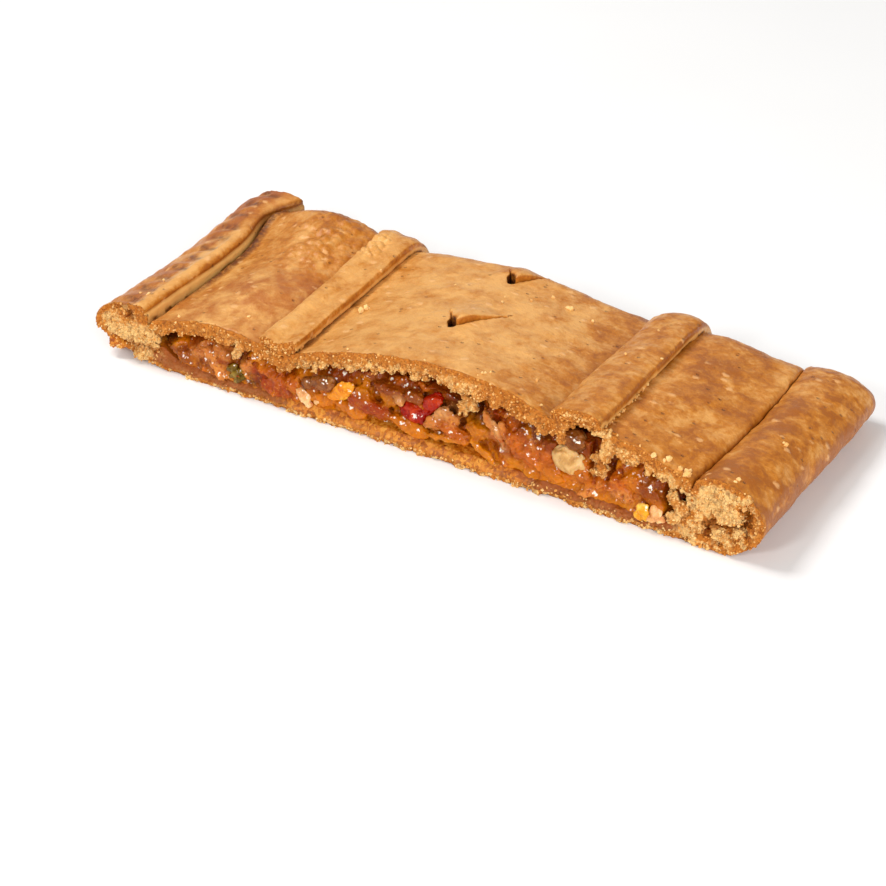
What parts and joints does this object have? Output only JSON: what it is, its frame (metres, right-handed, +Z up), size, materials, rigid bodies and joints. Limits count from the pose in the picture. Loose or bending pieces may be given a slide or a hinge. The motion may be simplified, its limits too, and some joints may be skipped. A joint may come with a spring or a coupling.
{
  "type": "empanada half",
  "caption": "Half of a large flat rectangular pie, cut lengthwise: browned dough tray, crimped and rolled borders, puffed vented lid with dough strips, and a savoury filling at the cut.",
  "frame": {"origin": "on the resting plane, under the middle of the piece's box", "axes": "+X along the cut, from the crimped border to the rolled border; +Y from the cut face to the sealed back edge; +Z up through the lid"},
  "size_m": [0.252, 0.0912, 0.0353],
  "materials": {
    "tray_crust": "baked bread dough with a browned skin and a pale crumb",
    "filling": "moist cooked fish, pepper and onion in an oily red-brown sauce",
    "lid_crust": "baked bread dough, egg-washed and golden",
    "strip_crust": "baked bread dough, egg-washed and golden"
  },
  "bodies": {
    "root": {"tray": "tray_crust", "filling": "filling", "lid": "lid_crust", "strip_left": "strip_crust", "strip_right": "strip_crust"}
  },
  "joints": []
}
